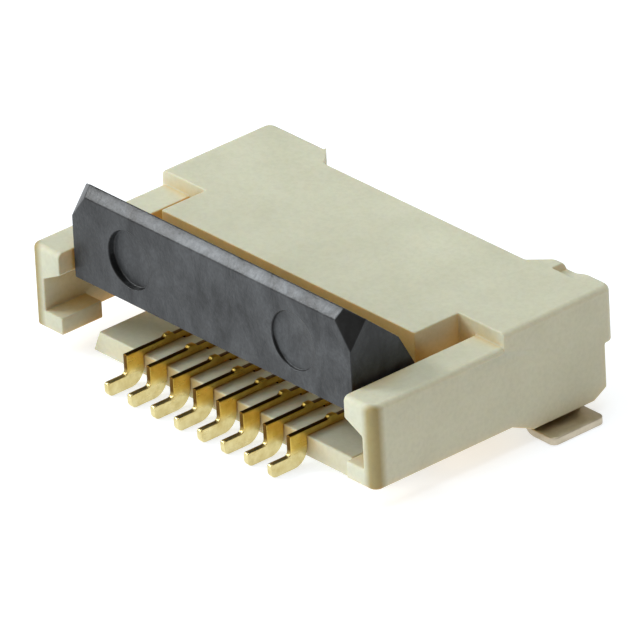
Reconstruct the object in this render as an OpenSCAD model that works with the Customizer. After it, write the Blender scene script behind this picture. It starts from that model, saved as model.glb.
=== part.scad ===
// Surface-mount connector for a flat flexible cable, eight contacts, with a flip-up actuator.
// X runs along the row of contacts and +Z is up from the board at z = 0.
// Depth is measured from the front face of the ears towards the side where the cable goes in (+Y).
// The tails and the actuator are at the front (-Y).

/* [Row] */
// Distance between neighbouring contacts
pitch = 0.5; // [0.5:0.05:0.7]

/* [Housing] */
// From the last contact to the outer face of the housing
side_margin = 1.9; // [1.85:0.05:2.4]
// Depth from the front of the ears to the rear face
body_depth = 4.56; // [4.4:0.02:5.2]
// Height of the roof above the board
roof_top = 1.9; // [1.88:0.02:2.1]
// Height of the ears above the board
ear_top = 1.68; // [1.66:0.02:1.74]
// Width of each ear
ear_w = 0.6; // [0.5:0.02:0.62]
// Thickness of the outer wall of an ear
ear_wall = 0.24; // [0.18:0.02:0.3]
// Height of the underside of the ears above the board
ear_bottom = 0.38; // [0.3:0.02:0.44]
// Height of the foot block inside each ear
ear_foot_h = 0.27; // [0.2:0.01:0.32]
// Depth of the foot block inside each ear
ear_foot_d = 0.76; // [0.6:0.02:0.9]
// Thickness of the arm over the pocket of each ear
ear_arm_t = 0.34; // [0.32:0.02:0.4]
// Depth from the front of the ears to the high part of the roof
roof_step_y = 2.49; // [2.3:0.01:2.7]
// Depth from the front of the ears to the middle of the roof
roof_front_y = 1.66; // [1.6:0.01:1.8]
// Width of the gap between the middle block and each ear
ear_gap = 0.35; // [0.28:0.01:0.4]
// Distance that the upper part stands out over the lower rear face
rear_lip = 0.19; // [0.1:0.01:0.25]
// Height of the upper part's overhang above the board
rear_lip_z = 1.03; // [1.0:0.01:1.2]
// Depth of the notch in the rear edge of the roof
notch_d = 0.34; // [0.2:0.01:0.4]
// Distance of the notch's corner from the outer face
notch_margin = 1.17; // [1.1:0.01:1.4]

/* [Floor] */
// Height of the floor's underside above the board
floor_bottom = 0.08; // [0.05:0.01:0.12]
// Height of the floor's upper face above the board
floor_top = 0.42; // [0.38:0.005:0.46]
// Depth from the front of the ears to the front of the floor
floor_front_y = 0.385; // [0.36:0.005:0.45]
// Distance that the floor widens from its top to its underside
floor_draft = 0.15; // [0.05:0.01:0.16]

/* [Cable slot] */
// Height of the slot for the cable
slot_h = 0.36; // [0.3:0.01:0.38]
// Height of the slot's lower face above the board
slot_z = 0.62; // [0.6:0.01:0.64]
// Width of the cable beyond the two outer contacts, on each side
slot_side = 0.55; // [0.5:0.01:0.7]
// Depth from the front of the ears to the cable's stop
slot_stop_y = 2.62; // [2.6:0.01:2.8]

/* [Contact] */
// Thickness of the sheet that the contacts are blanked from
contact_t = 0.09; // [0.08:0.01:0.16]
// Distance from the front of the ears to the tip of the tails
tail_reach = 0.32; // [0.28:0.01:0.5]
// Height of the tail's solder foot
tail_foot_h = 0.22; // [0.18:0.01:0.28]
// Width of the upright leg of the tail
leg_w = 0.31; // [0.25:0.01:0.33]
// Height of the tail's arm above the board
arm_top = 0.53; // [0.5:0.005:0.58]

/* [Actuator] */
// Depth from the front of the ears to the actuator's front face
face_y = 0.235; // [0.2:0.005:0.26]
// Depth from the front of the ears to the pivot
pivot_y = 1.04; // [1.02:0.01:1.06]
// Height of the pivot above the board
pivot_z = 1.48; // [1.47:0.01:1.5]
// Height of the front face when open
face_h = 1.37; // [1.1:0.01:1.4]
// Distance from the pivot down to the bottom of the front face
face_drop = 0.21; // [0.15:0.01:0.24]
// Radius of the rounded back about the pivot
cam_r = 0.4; // [0.38:0.01:0.42]
// Size of the bevel along the upper edge of the front face
top_bevel = 0.15; // [0.08:0.01:0.18]
// Diameter of the shaft that the contacts hold
shaft_d = 0.2; // [0.16:0.01:0.22]
// Gap between each end of the actuator and the ear
end_gap = 0.07; // [0.04:0.01:0.1]

/* [Solder tabs] */
// Thickness of the tabs' sheet
tab_t = 0.12; // [0.1:0.01:0.15]
// Length of a tab along the housing
tab_l = 0.98; // [0.8:0.02:1.1]
// Distance that a tab stands out past the housing
tab_reach = 0.31; // [0.2:0.01:0.45]
// Distance from the rear end of a tab to the rear face
tab_inset = 0.52; // [0.45:0.01:0.7]

/* [Hidden] */
$fn = 48;
positions = 8;
cut = 0.01;

// Half widths, from the middle of the row outwards
row_half = pitch * (positions - 1) / 2;
half_w = row_half + side_margin;
ear_in = half_w - ear_w;
wall_in = half_w - ear_wall;
core_half = ear_in - ear_gap;
act_half = ear_in - end_gap;
slot_half = row_half + slot_side;
notch_half = half_w - notch_margin;
notch_off = 0.05;

// Depths of the housing
mid_y = (body_depth - tail_reach) / 2;
rear_low_y = body_depth - rear_lip;
notch_y = body_depth - notch_d;
tab_y1 = body_depth - tab_inset;
tab_y0 = tab_y1 - tab_l;
heel_run = 0.4;
heel_y = tab_y0 - heel_run - 0.08;
pocket_end_y = pivot_y + 0.4;
roof_lip = 0.09;
core_front_y = roof_front_y + roof_lip;

// Heights of the housing
side_bottom = tab_t + 0.08;
rear_chamfer = 0.14;
rear_chamfer_run = 0.24;
arm_under = ear_top - ear_arm_t;
arm_slope = 0.18;
foot_top = ear_bottom + ear_foot_h;
web_top = 1.0;
slot_top = slot_z + slot_h;

// Edge roundings of the housing
ear_edge_r = 0.12;
rear_edge_r = 0.15;
top_edge_r = 0.09;

// Small recess in the rear edge of the roof
dip_x = notch_half + notch_off + 0.12;
dip_w = 0.58;
dip_flat = 0.2;
dip_wall = 0.03;
dip_d = 0.11;
dip_run = 0.25;

// Contact cavities and the blanked contact
cavity_w = contact_t + 0.03;
cavity_floor = 0.31;
cavity_top = 1.42;
cavity_y0 = 1.13;
cavity_y1 = rear_low_y - 0.25;
clear = 0.02;
leg_front = floor_front_y - clear - leg_w;
leg_back = leg_front + leg_w;
tip_bottom_r = 0.1;
tip_top_r = 0.04;
heel_r = 0.26;
inner_r = 0.06;
bump_y = leg_front + 0.76;
bump_h = 0.045;
bump_w = 0.1;
lower_bottom = cavity_floor + clear;
lower_top = lower_bottom + 0.17;
riser_w = 0.2;
post_y = slot_stop_y - 0.42;
post_w = 0.3;
beam_under = slot_top + 0.15;
beam_h = 0.22;
beam_tip_h = 0.12;
nose_y = cavity_y1 - 0.32;
nose_r = 0.14;
nose_half = 0.08;
nose_flank = 0.14;
nose_grip = 0.04;
neck_low = [pivot_y + 0.12, pivot_z - 0.16];
neck_under_y = pivot_y + 0.41;
neck_top_y = pivot_y + 0.23;
hook_in_r = shaft_d / 2 + clear;
hook_w = 0.15;
hook_out_r = hook_in_r + hook_w;
hook_from = -70;
hook_to = 150;

// Actuator
face_bottom = pivot_z - face_drop;
face_top = face_bottom + face_h;
ridge_y = face_y + top_bevel;
ridge_z = face_top + top_bevel;
knee = [pivot_y + 0.1, pivot_z + 0.66];
shoulder_angle = 33;
window_w = contact_t + 0.08;
window_r = hook_out_r + 0.05;
window_from = -152;
window_to = -6;
stub_l = 0.2;
disc_r = 0.45;
disc_z = face_bottom + 0.7;
disc_left_d = 0.11;
disc_right_d = 0.05;
corner_w = 0.31;
corner_h = 0.4;
corner_back = 0.3;

// Solder tabs
tab_plate_x = half_w - 0.2;
tab_plate_top = 0.8;
tab_bend_r = 0.08;
tab_corner_r = 0.1;
tab_clear = 0.015;

// Extrudes a profile drawn in depth and height along X, centred on x
module along_x(w, x = 0) {
    translate([x - w / 2, 0, 0])
        rotate([90, 0, 90])
            linear_extrude(w)
                children();
}

// Extrudes a profile drawn in width and height along Y, from y0 to y1
module along_y(y0, y1) {
    translate([0, y1, 0])
        rotate([90, 0, 0])
            linear_extrude(y1 - y0)
                children();
}

module both_sides() {
    children();
    mirror([1, 0, 0]) children();
}

// What a rounding of radius r takes off a square corner at the origin that points to -u, -v
module corner_waste(r) {
    difference() {
        translate([-cut, -cut]) square(r + cut);
        translate([r, r]) circle(r);
    }
}

function around(centre, r, a) = [centre[0] + r * cos(a), centre[1] + r * sin(a)];

// Wedge of the plane between two angles, wide enough to cover the part
module sector(centre, r, from, to) {
    steps = 8;
    polygon(concat([centre], [
        for (i = [0:steps]) around(centre, r, from + (to - from) * i / steps)
    ]));
}

// ---- Housing ----

// Rear block over the full width, with the overhanging upper part
module rear_block() {
    along_x(2 * half_w)
        polygon([
            [roof_step_y, ear_bottom], [heel_y, ear_bottom], [heel_y + heel_run, side_bottom],
            [rear_low_y - rear_chamfer_run, side_bottom], [rear_low_y, side_bottom + rear_chamfer],
            [rear_low_y, rear_lip_z], [body_depth, rear_lip_z],
            [body_depth, roof_top], [roof_step_y, roof_top]
        ]);
}

// One ear: arm above, foot block below, and a pocket between them that runs down behind the foot
module ear() {
    difference() {
        translate([ear_in, 0, ear_bottom])
            cube([ear_w, roof_step_y + cut, ear_top - ear_bottom]);
        along_y(-cut, pocket_end_y)
            polygon([
                [ear_in - cut, foot_top], [wall_in, foot_top],
                [wall_in, arm_under - arm_slope], [ear_in - cut, arm_under]
            ]);
        translate([ear_in - cut, ear_foot_d, ear_bottom - cut])
            cube([wall_in - ear_in + cut, pocket_end_y - ear_foot_d, ear_foot_h + 2 * cut]);
        stub_bearing();
    }
}

// Bearing for the actuator's end, open to the pocket below so that it snaps in
module stub_bearing() {
    d = shaft_d + 2 * clear;
    along_x(stub_l + 2 * clear + cut, ear_in + (stub_l + 2 * clear - cut) / 2) {
        translate([pivot_y, pivot_z]) circle(d = d);
        translate([pivot_y - d / 2, foot_top]) square([d, pivot_z - foot_top]);
    }
}

// Middle block with the roof that reaches forward over the contacts
module core() {
    along_x(2 * core_half)
        polygon([
            [core_front_y, floor_bottom], [roof_step_y + cut, floor_bottom],
            [roof_step_y + cut, roof_top], [roof_front_y, roof_top],
            [roof_front_y, cavity_top], [core_front_y, cavity_top - roof_lip]
        ]);
    both_sides()
        translate([core_half - cut, pocket_end_y, ear_bottom])
            cube([ear_gap + 2 * cut, roof_step_y - pocket_end_y + cut, web_top - ear_bottom]);
}

// Floor plate under the contacts, wider at its underside
module floor_plate() {
    w = core_half + floor_draft;
    along_y(floor_front_y, rear_low_y - rear_chamfer_run)
        polygon([
            [-w, floor_bottom], [w, floor_bottom],
            [core_half, floor_top], [-core_half, floor_top]
        ]);
}

// Slot for the cable, with a lead-in at its mouth
module cable_slot() {
    lead_run = 0.3;
    lead_down = 0.18;
    lead_side = 0.12;
    lead_up_run = 0.16;
    along_x(2 * slot_half)
        polygon([
            [slot_stop_y, slot_z], [rear_low_y - lead_run, slot_z],
            [rear_low_y + cut, slot_z - lead_down], [rear_low_y + cut, roof_top],
            [notch_y - lead_up_run, slot_top], [slot_stop_y, slot_top]
        ]);
    both_sides()
        translate([0, 0, slot_z])
            linear_extrude(slot_h)
                polygon([
                    [slot_half - cut, rear_low_y - lead_run], [slot_half - cut, rear_low_y + cut],
                    [slot_half + lead_side, rear_low_y + cut]
                ]);
}

// Notch in the rear edge of the roof, a little off the middle, above the mouth of the slot
module roof_notch() {
    translate([notch_off, 0, slot_z])
        linear_extrude(roof_top - slot_z + cut)
            polygon([
                [-notch_half - cut, body_depth + cut], [notch_half + cut, body_depth + cut],
                [notch_half - notch_d, notch_y], [-notch_half + notch_d, notch_y]
            ]);
}

// Cavity for one contact, open to the front
module contact_cavity(x) {
    along_x(cavity_w, x)
        polygon([
            [cavity_y0, cavity_floor], [cavity_y1, cavity_floor],
            [cavity_y1, cavity_top], [cavity_y0, cavity_top]
        ]);
}

// Slot that the upright plate of a solder tab is pressed into
module tab_slot() {
    translate([tab_plate_x - tab_t - tab_clear, tab_y0 - tab_clear, 0])
        cube([tab_t + 2 * tab_clear, tab_l + 2 * tab_clear, tab_plate_top + tab_clear]);
}

// Rounding of an upper edge round an upright corner of radius r, with its axis at the origin
module top_corner_waste(r, z) {
    rotate_extrude(angle = 90)
        translate([r, z]) rotate(180) corner_waste(top_edge_r);
}

// Roundings of an ear's front corner and upper edges
module ear_roundings() {
    corner_x = half_w - ear_edge_r;
    translate([half_w, 0, 0])
        linear_extrude(roof_top + cut)
            mirror([1, 0]) corner_waste(ear_edge_r);
    along_x(corner_x - ear_in + cut, (corner_x + ear_in - cut) / 2)
        translate([0, ear_top]) mirror([0, 1]) corner_waste(top_edge_r);
    translate([corner_x, ear_edge_r, 0])
        rotate(-90) top_corner_waste(ear_edge_r, ear_top);
    along_y(ear_edge_r, roof_step_y)
        translate([half_w, ear_top]) rotate(180) corner_waste(top_edge_r);
}

// Roundings of the rear corner and the roof's upper edges on one side
module roof_roundings() {
    corner_x = half_w - rear_edge_r;
    corner_y = body_depth - rear_edge_r;
    edge_in = notch_half - notch_off - cut;
    translate([half_w, body_depth, rear_lip_z - cut])
        linear_extrude(roof_top)
            rotate(180) corner_waste(rear_edge_r);
    along_y(roof_step_y, corner_y)
        translate([half_w, roof_top]) rotate(180) corner_waste(top_edge_r);
    translate([corner_x, corner_y, 0])
        top_corner_waste(rear_edge_r, roof_top);
    along_x(corner_x - edge_in, (corner_x + edge_in) / 2)
        translate([body_depth, roof_top]) rotate(180) corner_waste(top_edge_r);
}

// Shallow dip that the moulding gate leaves in the rear edge of the roof
module gate_dip() {
    along_y(body_depth - dip_run, body_depth + cut)
        polygon([
            [dip_x, roof_top + cut], [dip_x + dip_wall, roof_top - dip_d],
            [dip_x + dip_flat, roof_top - dip_d], [dip_x + dip_w, roof_top + cut]
        ]);
}

module housing() {
    color("#cdcdb4")
        translate([0, -mid_y, 0])
            difference() {
                union() {
                    rear_block();
                    core();
                    floor_plate();
                    both_sides() ear();
                }
                cable_slot();
                roof_notch();
                for (i = [1:positions]) contact_cavity(contact_x(i));
                both_sides() tab_slot();
                both_sides() ear_roundings();
                both_sides() roof_roundings();
                gate_dip();
            }
}

// ---- Contacts ----

function contact_x(i) = (i - 1) * pitch - row_half;

// Solder foot, leg and arm that stand in front of the housing
module tail_profile() {
    difference() {
        translate([-tail_reach, 0]) square([leg_back + tail_reach, tail_foot_h]);
        translate([-tail_reach, 0]) corner_waste(tip_bottom_r);
        translate([-tail_reach, tail_foot_h]) mirror([0, 1]) corner_waste(tip_top_r);
        translate([leg_back, 0]) mirror([1, 0]) corner_waste(heel_r);
    }
    difference() {
        translate([leg_front, tail_foot_h - cut]) square([leg_w, arm_top - tail_foot_h + cut]);
        translate([leg_back, 0]) mirror([1, 0]) corner_waste(heel_r);
    }
    translate([leg_front, tail_foot_h]) mirror([1, 0]) corner_waste(inner_r);
    arm_end = cavity_y0 + riser_w;
    arm_under_z = floor_top + clear / 2;
    polygon([
        [leg_front, arm_under_z], [arm_end, arm_under_z], [arm_end, arm_top],
        [bump_y + bump_w + bump_h, arm_top], [bump_y + bump_w, arm_top + bump_h],
        [bump_y, arm_top + bump_h], [bump_y - bump_h, arm_top], [leg_front, arm_top]
    ]);
}

// Lower beam in the floor's groove, with the point that touches the cable from below
module lower_beam() {
    y0 = cavity_y0 + clear;
    translate([y0, lower_bottom]) square([cavity_y1 - clear - y0, lower_top - lower_bottom]);
    translate([y0, lower_bottom]) square([riser_w, arm_top - lower_bottom]);
    translate([nose_y, slot_z + nose_grip - nose_r]) circle(nose_r);
}

// Post and upper beam, with the point that presses on the cable from above
module upper_beam() {
    beam_end = cavity_y1 - clear;
    beam_top = beam_under + beam_h;
    tip_mid = beam_under + beam_h / 2 + clear / 2;
    nose_root = beam_under + beam_h / 2;
    translate([post_y, lower_top - cut]) square([post_w, nose_root - lower_top + cut]);
    polygon([
        neck_low, [neck_under_y, beam_under],
        [beam_end, tip_mid - beam_tip_h / 2], [beam_end, tip_mid + beam_tip_h / 2],
        [post_y + post_w, beam_top], [neck_top_y, beam_top]
    ]);
    polygon([
        [nose_y - nose_half - nose_flank, nose_root], [nose_y - nose_half, slot_top - nose_grip],
        [nose_y + nose_half, slot_top - nose_grip], [nose_y + nose_half + nose_flank, nose_root]
    ]);
}

// Hook at the end of the upper beam that holds the actuator's shaft
module hook() {
    centre = [pivot_y, pivot_z];
    intersection() {
        difference() {
            translate(centre) circle(hook_out_r);
            translate(centre) circle(hook_in_r);
        }
        sector(centre, 2 * hook_out_r, hook_from, hook_to);
    }
}

module contact(i) {
    color("#c9a24a")
        translate([0, -mid_y, 0])
            along_x(contact_t, contact_x(i))
                difference() {
                    union() {
                        tail_profile();
                        lower_beam();
                        upper_beam();
                        hook();
                    }
                    translate([pivot_y, pivot_z]) circle(hook_in_r);
                }
}

// ---- Actuator ----

// Touching point of the line from the lower front edge to the rounded back
function lower_touch() =
    let (d = [pivot_y - face_y, pivot_z - face_bottom])
    let (a = atan2(d[1], d[0]) - asin(cam_r / norm(d)))
    let (l = sqrt(norm(d) * norm(d) - cam_r * cam_r))
    [face_y + l * cos(a), face_bottom + l * sin(a)];

module actuator_profile() {
    centre = [pivot_y, pivot_z];
    polygon([
        [face_y, face_bottom], [face_y, face_top], [ridge_y, ridge_z], knee,
        around(centre, cam_r, shoulder_angle), centre, lower_touch()
    ]);
    translate(centre) circle(cam_r);
}

// Opening that the hook of one contact moves in
module hook_window(x) {
    centre = [pivot_y, pivot_z];
    along_x(window_w, x) {
        translate(centre) circle(window_r);
        sector(centre, 2 * face_h, window_from, window_to);
    }
}

// Flat cut across an upper corner of the front face
module corner_cut() {
    a = [act_half - corner_w, face_y, face_top];
    b = [act_half, face_y, face_top - corner_h];
    c = [act_half, face_y + corner_back, face_top];
    n = cross(b - a, c - a);
    m = n[0] < 0 ? -n : n;
    translate(a)
        rotate([0, -atan2(m[2], norm([m[0], m[1]])), atan2(m[1], m[0])])
            translate([0, -face_h, -face_h])
                cube([face_h, 2 * face_h, 2 * face_h]);
}

module actuator() {
    color("#5a5e62")
        translate([0, -mid_y, 0]) {
            difference() {
                along_x(2 * act_half) actuator_profile();
                for (i = [1:positions]) hook_window(contact_x(i));
                both_sides() corner_cut();
                along_y(face_y - cut, face_y + disc_left_d)
                    translate([-row_half, disc_z]) circle(disc_r);
                along_y(face_y - cut, face_y + disc_right_d)
                    translate([row_half, disc_z]) circle(disc_r);
            }
            along_x(2 * (act_half + stub_l))
                translate([pivot_y, pivot_z]) circle(d = shaft_d);
        }
}

// ---- Solder tabs ----

// Bent strip of sheet: an upright plate in the housing and a foot that turns outwards
module tab_profile() {
    r = tab_bend_r + tab_t;
    x0 = tab_plate_x - tab_t;
    difference() {
        union() {
            translate([x0, 0]) square([half_w + tab_reach - x0, tab_t]);
            translate([x0, 0]) square([tab_t, tab_plate_top]);
            translate([x0, 0]) square(r);
        }
        translate([x0 + r, r]) circle(tab_bend_r);
        translate([x0 + r, tab_t]) square(r);
        translate([x0 + tab_t, r]) square(r);
        translate([x0, 0]) corner_waste(r);
    }
}

module solder_tab() {
    color("#a89678")
        translate([0, -mid_y, 0])
            difference() {
                along_y(tab_y0, tab_y1) tab_profile();
                for (m = [0, 1])
                    translate([half_w + tab_reach, m == 0 ? tab_y0 : tab_y1, -cut])
                        linear_extrude(tab_t + 2 * cut)
                            rotate(m == 0 ? 90 : 180) corner_waste(tab_corner_r);
            }
}

module solder_tab_right() {
    solder_tab();
}

module solder_tab_left() {
    mirror([1, 0, 0]) solder_tab();
}

housing();
actuator();
for (i = [1:positions])
    contact(i);
solder_tab_left();
solder_tab_right();
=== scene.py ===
import math

import bmesh
import bpy
from mathutils import Matrix, Vector
from mathutils.bvhtree import BVHTree
from mathutils.geometry import intersect_point_line


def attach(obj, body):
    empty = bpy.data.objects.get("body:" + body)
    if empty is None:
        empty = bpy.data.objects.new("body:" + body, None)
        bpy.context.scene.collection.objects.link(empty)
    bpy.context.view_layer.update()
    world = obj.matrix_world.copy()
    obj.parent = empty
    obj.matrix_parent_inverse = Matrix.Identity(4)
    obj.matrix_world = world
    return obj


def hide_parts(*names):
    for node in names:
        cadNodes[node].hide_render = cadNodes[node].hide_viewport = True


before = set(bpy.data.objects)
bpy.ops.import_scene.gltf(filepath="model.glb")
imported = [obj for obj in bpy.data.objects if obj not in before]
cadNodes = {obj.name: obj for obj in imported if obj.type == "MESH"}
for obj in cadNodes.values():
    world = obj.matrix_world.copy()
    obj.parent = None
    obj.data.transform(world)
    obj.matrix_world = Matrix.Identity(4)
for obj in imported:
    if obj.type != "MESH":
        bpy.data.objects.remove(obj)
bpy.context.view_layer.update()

mm = 0.001
white = (1, 1, 1)
contactNodes = sorted(name for name in cadNodes if name.startswith("contact_"))

view = {
    "turn": 49.9,  # degrees round the part, 0 looks at the tails
    "tilt": 27.9,  # degrees down
    "roll": -3.0,  # degrees
    "distance": 200,  # mm
    "width": 9.053,  # mm across the picture at the aim
    "aim": (0.12, 0.005, 0.975),  # mm
    "sensor": 36,  # mm
    "near": 1,  # mm
    "far": 10000,  # mm
}


def makeCamera():
    turn, tilt, roll = (math.radians(view[name]) for name in ("turn", "tilt", "roll"))
    ahead = Vector((
        -math.sin(turn) * math.cos(tilt), math.cos(turn) * math.cos(tilt), -math.sin(tilt)))
    right = Vector((math.cos(turn), math.sin(turn), 0))
    up = right.cross(ahead)
    camera = bpy.data.cameras.new("camera")
    camera.sensor_width = view["sensor"]
    camera.lens = view["sensor"] * view["distance"] / view["width"]
    camera.clip_start = view["near"] * mm
    camera.clip_end = view["far"] * mm
    seat = bpy.data.objects.new("camera", camera)
    bpy.context.scene.collection.objects.link(seat)
    rolledRight = right * math.cos(roll) + up * math.sin(roll)
    rolledUp = up * math.cos(roll) - right * math.sin(roll)
    place = (Vector(view["aim"]) - ahead * view["distance"]) * mm
    turned = Matrix((rolledRight, rolledUp, -ahead)).transposed().to_4x4()
    seat.matrix_world = Matrix.Translation(place) @ turned
    bpy.context.scene.camera = seat
    print("camera ready")


makeCamera()

studio = {
    "worldColour": (1.0, 0.96, 0.90),
    "worldStrength": 0.39,
    "floorColour": (0.56, 0.6, 0.66),
    "floorRoughness": 0.9,
    "floorGlow": 0.6,  # strength of the floor's own white light
    "floorSize": 600,  # mm
}
lamps = [  # name, place in mm, size in mm, watts, colour
    ("keyLamp", (-95, -66, 80), 60, 0.1, (1.0, 1.0, 1.0)),
    ("frontLamp", (-30, -120, 50), 90, 0.055, (1.0, 1.0, 1.0)),
    ("topLamp", (0, 10, 150), 100, 0.085, (0.96, 1.0, 1.0)),
]


def makeLamps(scene):
    for name, place, size, watts, colour in lamps:
        light = bpy.data.lights.new(name, "AREA")
        light.shape = "DISK"
        light.size = size * mm
        light.energy = watts
        light.color = colour
        lamp = bpy.data.objects.new(name, light)
        lamp.location = Vector(place) * mm
        lamp.rotation_euler = (-lamp.location).to_track_quat("-Z", "Y").to_euler()
        scene.collection.objects.link(lamp)


def makeFloor(scene):
    half = studio["floorSize"] / 2 * mm
    corners = [(-half, -half, 0), (half, -half, 0), (half, half, 0), (-half, half, 0)]
    mesh = bpy.data.meshes.new("floor")
    mesh.from_pydata(corners, [], [(0, 1, 2, 3)])
    floor = bpy.data.objects.new("floor", mesh)
    scene.collection.objects.link(floor)
    paper = bpy.data.materials.new("floorPaper")
    paper.use_nodes = True
    shader = paper.node_tree.nodes["Principled BSDF"]
    shader.inputs["Base Color"].default_value = (*studio["floorColour"], 1)
    shader.inputs["Roughness"].default_value = studio["floorRoughness"]
    shader.inputs["Emission Color"].default_value = (*white, 1)
    shader.inputs["Emission Strength"].default_value = studio["floorGlow"]
    mesh.materials.append(paper)


def makeStudio():
    scene = bpy.context.scene
    scene.view_settings.view_transform = "Standard"
    world = bpy.data.worlds.new("studio")
    world.use_nodes = True
    background = world.node_tree.nodes["Background"]
    background.inputs["Color"].default_value = (*studio["worldColour"], 1)
    background.inputs["Strength"].default_value = studio["worldStrength"]
    scene.world = world
    makeLamps(scene)
    makeFloor(scene)
    print("studio ready")


makeStudio()


def newMaterial(name, settings):
    material = bpy.data.materials.new(name)
    material.use_nodes = True
    tree = material.node_tree
    shader = tree.nodes["Principled BSDF"]
    for socket, value in settings.items():
        shader.inputs[socket].default_value = value
    return material, tree, shader


def noise(tree, perMm, detail=2.0, roughness=0.5, distortion=0.0, stretch=(1, 1, 1)):
    place = tree.nodes.new("ShaderNodeTexCoord")
    mapping = tree.nodes.new("ShaderNodeMapping")
    mapping.inputs["Scale"].default_value = [perMm * part / mm for part in stretch]
    tree.links.new(place.outputs["Object"], mapping.inputs["Vector"])
    node = tree.nodes.new("ShaderNodeTexNoise")
    node.inputs["Scale"].default_value = 1
    node.inputs["Detail"].default_value = detail
    node.inputs["Roughness"].default_value = roughness
    node.inputs["Distortion"].default_value = distortion
    tree.links.new(mapping.outputs["Vector"], node.inputs["Vector"])
    return node.outputs["Fac"]


def ramp(tree, factor, band, first, last):
    node = tree.nodes.new("ShaderNodeValToRGB")
    for element, position, colour in zip(node.color_ramp.elements, band, (first, last)):
        element.position = position
        element.color = (*colour, 1)
    tree.links.new(factor, node.inputs["Fac"])
    return node.outputs["Color"]


def remap(tree, factor, low, high, start=0.0, end=1.0):
    node = tree.nodes.new("ShaderNodeMapRange")
    for socket, value in (("From Min", start), ("From Max", end), ("To Min", low), ("To Max", high)):
        node.inputs[socket].default_value = value
    tree.links.new(factor, node.inputs["Value"])
    return node.outputs["Result"]


def rising(tree, value, band, unit=1):
    return remap(tree, value, 0.0, 1.0, *(end * unit for end in band))


def falling(tree, value, band, unit=1):
    return remap(tree, value, 1.0, 0.0, *(end * unit for end in band))


def connect(tree, socket, value):
    if isinstance(value, bpy.types.NodeSocket):
        tree.links.new(value, socket)
    else:
        socket.default_value = (*value, 1) if isinstance(value, tuple) else value


def calculate(tree, kind, *values):
    node = tree.nodes.new("ShaderNodeMath")
    node.operation = kind
    for socket, value in zip(node.inputs, values):
        connect(tree, socket, value)
    return node.outputs[0]


def axes(tree, output):
    place = tree.nodes.new("ShaderNodeTexCoord")
    split = tree.nodes.new("ShaderNodeSeparateXYZ")
    tree.links.new(place.outputs[output], split.inputs[0])
    return split.outputs


def mixColour(tree, factor, a, b, blend="MIX"):
    node = tree.nodes.new("ShaderNodeMix")
    node.data_type = "RGBA"
    node.blend_type = blend
    connect(tree, node.inputs["Factor"], factor)
    first, second = (socket for socket in node.inputs if socket.type == "RGBA")
    connect(tree, first, a)
    connect(tree, second, b)
    return next(socket for socket in node.outputs if socket.type == "RGBA")


def multiplied(tree, base, tint):
    return mixColour(tree, 1.0, base, tint, "MULTIPLY")


def tinted(tree, mask, base, tint):
    return mixColour(tree, mask, base, multiplied(tree, base, tint))


def bump(tree, shader, height, distance, strength, normal=None):
    node = tree.nodes.new("ShaderNodeBump")
    node.inputs["Distance"].default_value = distance * mm
    node.inputs["Strength"].default_value = strength
    tree.links.new(height, node.inputs["Height"])
    if normal:
        tree.links.new(normal, node.inputs["Normal"])
    tree.links.new(node.outputs["Normal"], shader.inputs["Normal"])
    return node.outputs["Normal"]


housing = {
    "edgeWidth": 0.022,  # mm
    "edgeSegments": 3,
    "dark": (0.535, 0.545, 0.42),
    "light": (0.60, 0.615, 0.485),
    "speckle": (0.94, 0.94, 0.93),  # multiplies the colour in the dips of the grain
    "gloss": 0.35,
    "glow": 0.35,  # share of the light that passes under the surface
    "glowReach": 0.22,  # mm
    "glowColour": (1.0, 0.55, 0.22),  # shares of that reach for red, green and blue
    "roughness": (0.5, 0.68),
    "clouds": {"perMm": 0.8, "detail": 4.0, "roughness": 0.55},
    "cloudBand": (0.3, 0.7),  # noise values that turn from dark to light
    "grain": {"perMm": 14.0, "detail": 3.0, "roughness": 0.6},
    "grainBand": (0.35, 0.6),
    "grainBump": {"distance": 0.004, "strength": 0.6},  # distance in mm
    "waves": {"perMm": 2.5},
    "waveBump": {"distance": 0.02, "strength": 0.35},
    "recessShadeTint": (1.22, 0.78, 0.28),  # painted shade and painted warm glow: multiplies the colour in the recesses
    "warmReach": 0.75,  # mm
    "warmBand": (0.25, 0.82),  # share of open space round a point, from full painted recess shade to none
    "warmSamples": 12,
    "warmFrom": (0.12, 0.42),  # mm above the board, where the painted recess shade sets in
    "warmLeast": 0.15,  # share of the painted recess shade that is left below
    "sideWallShade": (0.96, 0.90, 0.84),  # painted shade: multiplies the colour of the walls that look sideways
    "sideBand": (0.6, 0.95),  # how far a wall looks sideways, from none of it to all
    "corner": (0.56, 0.46, 0.26),  # painted shade: multiplies the colour on the ears' upright rounded corners
    "cornerBand": (0.11, 0.24),  # mm back from the corner, from all of it to none
}


def earCorner():  # y less |x| where the ears' front and side faces would meet
    points = [vertex.co for vertex in cadNodes["housing"].data.vertices]
    return min(point.y for point in points) - max(point.x for point in points)


# painted shade: recesses with little open space round them get a darker, warm colour, standing in
# for shade and for light glowing through the plastic
def paintedRecessShade(tree, height):
    reach = tree.nodes.new("ShaderNodeAmbientOcclusion")
    reach.samples = housing["warmSamples"]
    reach.inputs["Distance"].default_value = housing["warmReach"] * mm
    shaded = falling(tree, reach.outputs["AO"], housing["warmBand"])
    start, end = housing["warmFrom"]
    lifted = remap(tree, height, housing["warmLeast"], 1.0, start * mm, end * mm)
    return calculate(tree, "MULTIPLY", shaded, lifted)


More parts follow.
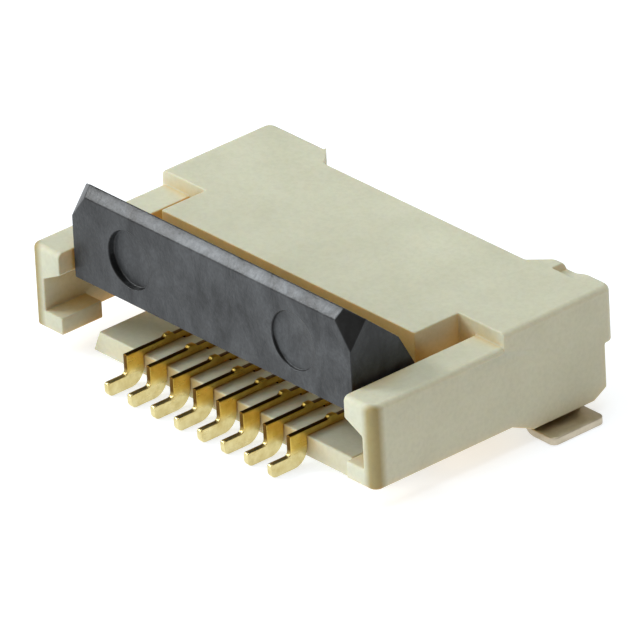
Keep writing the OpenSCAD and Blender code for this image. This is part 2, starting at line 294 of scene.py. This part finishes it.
def ivoryPlastic():
    material, tree, shader = newMaterial("ivoryPlastic", {
        "Specular IOR Level": housing["gloss"],
        "Subsurface Weight": housing["glow"],
        "Subsurface Radius": housing["glowColour"],
        "Subsurface Scale": housing["glowReach"] * mm,
    })
    clouds = noise(tree, **housing["clouds"])
    grain = noise(tree, **housing["grain"])
    base = ramp(tree, clouds, housing["cloudBand"], housing["dark"], housing["light"])
    speckle = ramp(tree, grain, housing["grainBand"], housing["speckle"], white)
    base = multiplied(tree, base, speckle)
    x, y, z = axes(tree, "Object")
    # painted warm shade in the recesses
    base = tinted(tree, paintedRecessShade(tree, z), base, housing["recessShadeTint"])
    # painted shade on the walls that look sideways
    across = calculate(tree, "ABSOLUTE", axes(tree, "Normal")[0])
    base = tinted(tree, rising(tree, across, housing["sideBand"]), base, housing["sideWallShade"])
    # painted shade on the ears' upright rounded corners
    outwards = calculate(tree, "SUBTRACT", y, calculate(tree, "ABSOLUTE", x))
    fromCorner = calculate(tree, "SUBTRACT", outwards, earCorner())
    onCorner = falling(tree, fromCorner, housing["cornerBand"], mm)
    base = tinted(tree, onCorner, base, housing["corner"])
    tree.links.new(base, shader.inputs["Base Color"])
    tree.links.new(remap(tree, grain, *housing["roughness"]), shader.inputs["Roughness"])
    fine = bump(tree, shader, grain, **housing["grainBump"])
    bump(tree, shader, noise(tree, **housing["waves"]), **housing["waveBump"], normal=fine)
    return material


actuator = {
    "edgeWidth": 0.018,  # mm
    "edgeSegments": 3,
    "deep": (0.012, 0.0135, 0.0145),
    "pale": (0.062, 0.067, 0.071),
    "speckle": (0.7, 0.7, 0.7),  # multiplies the colour in the dips of the grain
    "gloss": 0.34,
    "roughness": (0.26, 0.46),
    "flow": {"perMm": 2.2, "detail": 6.0, "roughness": 0.66, "distortion": 0.35,
             "stretch": (1.0, 1.0, 0.6)},
    "flowBand": (0.36, 0.62),  # noise values that turn from deep to pale
    "flowBump": {"distance": 0.04, "strength": 0.35},  # distance in mm
    "grain": {"perMm": 18.0, "detail": 3.0, "roughness": 0.6},
    "grainBand": (0.35, 0.65),
    "grainBump": {"distance": 0.005, "strength": 0.6},
    "leftEndShade": (0.62, 0.62, 0.62),  # painted shade: multiplies the colour of the left end
    "leftBand": (-3, 3),  # mm along x, from all of it to none
    "bevel": (3.2, 3.3, 3.4),  # painted highlight: multiplies the colour of the bevel and ridge
    "bevelUp": (0.55, 0.68),  # how far a face looks up, from none of it to all
    "bevelBack": (-0.68, -0.55),  # how far it looks back, from all of it to none
    "end": (0.62, 0.62, 0.62),  # painted shade: multiplies the colour of both ends and the corner facets
    "endBand": (0.3, 0.45),  # how far a face looks sideways, from none of it to all
    "facetShade": (0.3, 0.3, 0.3),  # painted shade and painted dark reflection: multiplies the colour of the corner facets once more
    "facetUp": (0.12, 0.2),  # how far such a face looks up, from none of it to all
}


def darkPlastic():
    material, tree, shader = newMaterial("darkPlastic", {"Specular IOR Level": actuator["gloss"]})
    flow = noise(tree, **actuator["flow"])
    grain = noise(tree, **actuator["grain"])
    base = ramp(tree, flow, actuator["flowBand"], actuator["deep"], actuator["pale"])
    speckle = ramp(tree, grain, actuator["grainBand"], actuator["speckle"], white)
    base = multiplied(tree, base, speckle)
    # painted shade, darker towards the left end
    along = rising(tree, axes(tree, "Object")[0], actuator["leftBand"], mm)
    base = multiplied(tree, base, ramp(tree, along, (0, 1), actuator["leftEndShade"], white))
    across, back, up = axes(tree, "Normal")
    # painted highlight on faces that look up and to the front
    facingUp = rising(tree, up, actuator["bevelUp"])
    facingFront = falling(tree, back, actuator["bevelBack"])
    bevelHighlightMask = calculate(tree, "MULTIPLY", facingUp, facingFront)
    base = tinted(tree, bevelHighlightMask, base, actuator["bevel"])
    # painted shade on the ends, and painted dark reflection on the corner facets
    onEnd = rising(tree, calculate(tree, "ABSOLUTE", across), actuator["endBand"])
    base = tinted(tree, onEnd, base, actuator["end"])
    onFacet = calculate(tree, "MULTIPLY", onEnd, rising(tree, up, actuator["facetUp"]))
    base = tinted(tree, onFacet, base, actuator["facetShade"])
    tree.links.new(base, shader.inputs["Base Color"])
    tree.links.new(remap(tree, flow, *actuator["roughness"]), shader.inputs["Roughness"])
    fine = bump(tree, shader, grain, **actuator["grainBump"])
    bump(tree, shader, flow, **actuator["flowBump"], normal=fine)
    return material


contacts = {
    "count": 8,
    "pitch": 0.5,  # mm
    "edgeWidth": 0.012,  # mm
    "edgeSegments": 2,
    "deep": (0.62, 0.51, 0.22),
    "pale": (0.80, 0.71, 0.38),
    "leg": (1.0, 0.84, 0.40),  # multiplies the colour above the feet
    "legFrom": (0.2, 0.32),  # mm above the board, where the legs' colour sets in
    "cutEdge": (0.16, 0.11, 0.06),  # painted shade and painted reflection of the dark actuator: multiplies the colour of the legs' blanked edges
    "cutBand": (0.3, 0.8),  # how far a face looks sideways, from all of it to none
    "bumpFrom": (0.54, 0.56),  # mm above the board, where the painted shade on the blanked edges ends
    "roughness": (0.2, 0.4),
    "clouds": {"perMm": 6.0, "detail": 3.0, "roughness": 0.6},
    "cloudBand": (0.3, 0.7),  # noise values that turn from deep to pale
    "scratches": {"perMm": 12.0, "detail": 3.0, "roughness": 0.6, "stretch": (1, 0.25, 3)},
    "scratchBump": {"distance": 0.004, "strength": 0.5},  # distance in mm
}


def goldPlate():
    material, tree, shader = newMaterial("goldPlate", {"Metallic": 1.0})
    clouds = noise(tree, **contacts["clouds"])
    base = ramp(tree, clouds, contacts["cloudBand"], contacts["deep"], contacts["pale"])
    height = axes(tree, "Object")[2]
    aboveFoot = rising(tree, height, contacts["legFrom"], mm)
    base = tinted(tree, aboveFoot, base, contacts["leg"])
    # painted shade and dark reflection on the legs' blanked edges
    belowBump = falling(tree, height, contacts["bumpFrom"], mm)
    across = calculate(tree, "ABSOLUTE", axes(tree, "Normal")[0])
    onCut = falling(tree, across, contacts["cutBand"])
    edgeShadeMask = calculate(tree, "MULTIPLY", onCut, calculate(tree, "MULTIPLY", aboveFoot, belowBump))
    base = tinted(tree, edgeShadeMask, base, contacts["cutEdge"])
    tree.links.new(base, shader.inputs["Base Color"])
    scratches = noise(tree, **contacts["scratches"])
    tree.links.new(remap(tree, scratches, *contacts["roughness"]), shader.inputs["Roughness"])
    bump(tree, shader, scratches, **contacts["scratchBump"])
    return material


tabs = {
    "edgeWidth": 0.015,  # mm
    "edgeSegments": 2,
    "dark": (0.48, 0.42, 0.31),
    "light": (0.62, 0.55, 0.43),
    "roughness": (0.3, 0.45),
    "clouds": {"perMm": 5.0, "detail": 3.0, "roughness": 0.6},
    "cloudBand": (0.3, 0.7),  # noise values that turn from dark to light
    "cloudBump": {"distance": 0.006, "strength": 0.5},  # distance in mm
}


def tinPlate():
    material, tree, shader = newMaterial("tinPlate", {"Metallic": 1.0})
    clouds = noise(tree, **tabs["clouds"])
    base = ramp(tree, clouds, tabs["cloudBand"], tabs["dark"], tabs["light"])
    tree.links.new(base, shader.inputs["Base Color"])
    tree.links.new(remap(tree, clouds, *tabs["roughness"]), shader.inputs["Roughness"])
    bump(tree, shader, clouds, **tabs["cloudBump"])
    return material


materials = {
    "ivory": ivoryPlastic(),
    "dark": darkPlastic(),
    "gold": goldPlate(),
    "tin": tinPlate(),
}
print("materials ready")

softening = {
    "sharpFrom": math.radians(28),  # edges that bend less are left as they are
    "runsOnBelow": -0.86,  # cosine between two edges at a point, below which they run on
    "roomPerWidth": 1.6,  # length that an edge needs, in widths
    "leastRoom": 0.7,  # with a smaller share of that length an edge stays crisp
    "mergeWithin": 0.0003,  # mm, for points
    "flatWithin": math.radians(0.1),  # for faces that are joined
    "flatWeight": 100,  # how far the largest faces lead the shading
    "astrayFrom": 0.5,  # distance of a point from the CAD surface, in widths
    "mendWithin": 1.5,  # distance of an edge from a point astray, in widths
    "tries": 4,
}


def isSharp(edge):
    return len(edge.link_faces) == 2 and edge.calc_face_angle() > softening["sharpFrom"]


def runsOn(vertex, meeting):
    if len(meeting) != 2 or meeting[0].is_convex != meeting[1].is_convex:
        return False
    first, second = ((edge.other_vert(vertex).co - vertex.co).normalized() for edge in meeting)
    return first.dot(second) < softening["runsOnBelow"]


def bevelWeights(work, width):
    weights = work.edges.layers.float.new("bevel_weight_edge")
    sharp = {edge for edge in work.edges if isSharp(edge)}
    for edge in sharp:
        edge[weights] = 1
    for vertex in work.verts:
        meeting = [edge for edge in vertex.link_edges if edge in sharp]
        if not meeting or runsOn(vertex, meeting):
            continue
        room = min(edge.calc_length() for edge in meeting) / (softening["roomPerWidth"] * width)
        for edge in meeting:
            edge[weights] = min(edge[weights], room if room > softening["leastRoom"] else 0)
    return weights


def finished(thing):  # its mesh with the modifiers applied
    result = bpy.data.meshes.new_from_object(
        thing.evaluated_get(bpy.context.evaluated_depsgraph_get()))
    bpy.data.objects.remove(thing)
    return result


def bevelled(mesh, name, width, segments):
    rough = bpy.data.objects.new(name, mesh)
    bpy.context.scene.collection.objects.link(rough)
    bevel = rough.modifiers.new("softEdges", "BEVEL")
    bevel.width = width
    bevel.segments = segments
    bevel.limit_method = "WEIGHT"
    bevel.use_clamp_overlap = False
    bevel.miter_outer = "MITER_ARC"
    flatten = rough.modifiers.new("flatFaces", "WEIGHTED_NORMAL")
    flatten.keep_sharp = True
    flatten.weight = softening["flatWeight"]
    return finished(rough)


def near(point, a, b):
    foot, part = intersect_point_line(point, a, b)
    closest = a if part < 0 else b if part > 1 else foot
    return (point - closest).length


def mendEdges(work, weights, astray, reach):
    for edge in work.edges:  # an edge whose bevel would fold over stays crisp
        a, b = (vertex.co for vertex in edge.verts)
        if edge[weights] and any(near(point, a, b) < reach for point in astray):
            edge[weights] = 0


def softEdgedMesh(nodeName, piece):
    width = piece["edgeWidth"] * mm
    limit = softening["astrayFrom"] * width
    work = bmesh.new()
    work.from_mesh(cadNodes[nodeName].data)
    bmesh.ops.remove_doubles(work, verts=work.verts, dist=softening["mergeWithin"] * mm)
    bmesh.ops.dissolve_limit(
        work, angle_limit=softening["flatWithin"], verts=work.verts, edges=work.edges)
    weights = bevelWeights(work, width)
    surface = BVHTree.FromBMesh(work)
    mesh = bpy.data.meshes.new(nodeName + "Soft")
    for number in range(softening["tries"]):
        for edge in work.edges:
            edge.smooth = edge[weights] > 0 or not isSharp(edge)
        work.to_mesh(mesh)
        mesh.materials.clear()
        mesh.shade_smooth()
        result = bevelled(mesh, nodeName + "Rough", width, piece["edgeSegments"])
        points = [vertex.co for vertex in result.vertices]
        astray = [point for point in points if surface.find_nearest(point)[3] > limit]
        print(nodeName, "softened, try", number + 1, "with", len(astray), "points astray")
        if not astray:
            break
        mendEdges(work, weights, astray, softening["mendWithin"] * width)
    work.free()
    return result


def addPiece(name, mesh, material, body, nodes):
    piece = bpy.data.objects.new(name, mesh)
    bpy.context.scene.collection.objects.link(piece)
    mesh.materials.clear()
    mesh.materials.append(material)
    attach(piece, body)
    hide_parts(*nodes)
    print(name, "made,", len(mesh.polygons), "faces")


addPiece("insulatorHousing", softEdgedMesh("housing", housing), materials["ivory"],
         "housing", ["housing"])
addPiece("flipActuator", softEdgedMesh("actuator", actuator), materials["dark"],
         "actuator", ["actuator"])
for side in ("left", "right"):
    addPiece(side + "SolderTab", softEdgedMesh("solder_tab_" + side, tabs), materials["tin"],
             "housing", ["solder_tab_" + side])


def rowTree():  # spreads one contact along x
    tree = bpy.data.node_groups.new("contactRow", "GeometryNodeTree")
    for name, kind in (
            ("Geometry", "NodeSocketGeometry"), ("Count", "NodeSocketInt"),
            ("Pitch", "NodeSocketFloat"), ("Metal", "NodeSocketMaterial")):
        tree.interface.new_socket(name, in_out="INPUT", socket_type=kind)
    tree.interface.new_socket("Geometry", in_out="OUTPUT", socket_type="NodeSocketGeometry")
    given, line, step, spread, solid, finish, out = (tree.nodes.new(kind) for kind in (
        "NodeGroupInput", "GeometryNodeMeshLine", "ShaderNodeCombineXYZ",
        "GeometryNodeInstanceOnPoints", "GeometryNodeRealizeInstances",
        "GeometryNodeSetMaterial", "NodeGroupOutput"))
    for source, target in (
            (given.outputs["Count"], line.inputs["Count"]),
            (given.outputs["Pitch"], step.inputs["X"]),
            (step.outputs["Vector"], line.inputs["Offset"]),
            (line.outputs["Mesh"], spread.inputs["Points"]),
            (given.outputs["Geometry"], spread.inputs["Instance"]),
            (spread.outputs["Instances"], solid.inputs["Geometry"]),
            (solid.outputs["Geometry"], finish.inputs["Geometry"]),
            (given.outputs["Metal"], finish.inputs["Material"]),
            (finish.outputs["Geometry"], out.inputs["Geometry"])):
        tree.links.new(source, target)
    return tree


def contactRowMesh():
    row = bpy.data.objects.new("contactRowRough", softEdgedMesh(contactNodes[0], contacts))
    bpy.context.scene.collection.objects.link(row)
    spread = row.modifiers.new("row", "NODES")
    spread.node_group = rowTree()
    settings = {
        "Count": contacts["count"], "Pitch": contacts["pitch"] * mm, "Metal": materials["gold"]}
    for item in spread.node_group.interface.items_tree:
        if item.in_out == "INPUT" and item.name in settings:
            spread[item.identifier] = settings[item.name]
    return finished(row)


addPiece("contactRow", contactRowMesh(), materials["gold"],
         "housing", contactNodes)
